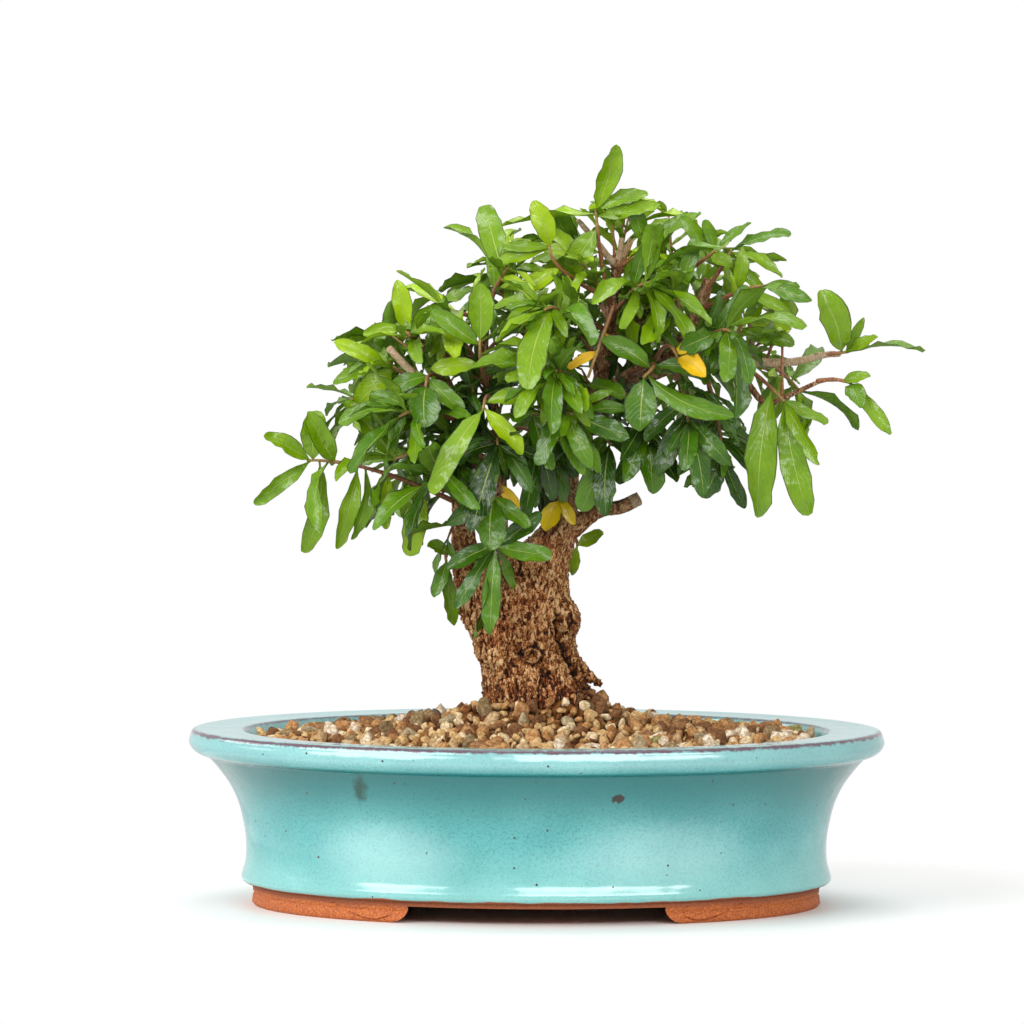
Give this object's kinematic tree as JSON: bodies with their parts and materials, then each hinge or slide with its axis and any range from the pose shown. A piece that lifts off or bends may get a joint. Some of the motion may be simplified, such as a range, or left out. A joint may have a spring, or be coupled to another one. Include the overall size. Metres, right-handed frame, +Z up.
{
  "type": "pomegranate bonsai in an oval pot",
  "caption": "Short thick-trunked pomegranate bonsai with a domed leafy crown, in a shallow oval glazed pot filled with gravelly soil.",
  "frame": {"origin": "bottom centre of the whole object's box, on the surface that the pot stands on", "axes": "+Z up along the trunk; +Y from the front of the tree to its back, along the pot's short side; +X to the right along the pot's long side"},
  "size_m": [0.2732, 0.2054, 0.2841],
  "materials": {
    "pot_glaze": "gloss",
    "screen_mesh": "matte",
    "gravel": "matte",
    "bark": "matte",
    "leaf_green": "satin",
    "leaf_yellow": "satin"
  },
  "bodies": {
    "root": {"pot": "pot_glaze", "drain_screen_left": "screen_mesh", "drain_screen_right": "screen_mesh", "soil": "gravel", "trunk": "bark", "shoot_yellow_leaves": "leaf_yellow", "shoot_right_reach": "leaf_green", "shoot_crown_top": "leaf_green", "shoot_crown_left": "leaf_green", "shoot_crown_right": "leaf_green", "shoot_upper_right": "leaf_green", "shoot_upper_right_outer": "leaf_green", "shoot_right_curl": "leaf_green", "shoot_right_shoulder": "leaf_green", "shoot_right_fold": "leaf_green", "shoot_right_hang": "leaf_green", "shoot_right_inner_low": "leaf_green", "shoot_right_mid": "leaf_green", "shoot_front_right_long": "leaf_green", "shoot_low_right_center": "leaf_green", "shoot_low_center": "leaf_green", "shoot_front_center": "leaf_green", "shoot_yellowing_leaf": "leaf_green", "shoot_behind_trunk": "leaf_green", "shoot_lower_front": "leaf_green", "shoot_lower_front_high": "leaf_green", "shoot_front_stem": "leaf_green", "shoot_left_low": "leaf_green", "shoot_bright_left": "leaf_green", "shoot_front_left_fan": "leaf_green", "shoot_left_round": "leaf_green", "shoot_left_high": "leaf_green", "shoot_left_crest": "leaf_green", "shoot_left_inner": "leaf_green", "shoot_left_reach": "leaf_green", "shoot_top_left_outer": "leaf_green", "shoot_top_left": "leaf_green", "shoot_front_high": "leaf_green", "shoot_front_mid": "leaf_green", "shoot_front_right_high": "leaf_green", "shoot_front_right_mid": "leaf_green", "shoot_right_top": "leaf_green", "shoot_left_mid_front": "leaf_green", "shoot_left_low_front": "leaf_green", "shoot_back_top": "leaf_green", "shoot_back_top_left": "leaf_green", "shoot_back_center": "leaf_green", "shoot_back_center_low": "leaf_green", "shoot_back_left_outer": "leaf_green", "shoot_back_left_high": "leaf_green", "shoot_back_left_low": "leaf_green", "shoot_back_right_outer": "leaf_green", "shoot_back_right_high": "leaf_green", "shoot_back_right_low": "leaf_green", "shoot_back_inner": "leaf_green", "shoot_side_right": "leaf_green", "shoot_side_left": "leaf_green"}
  },
  "joints": []
}
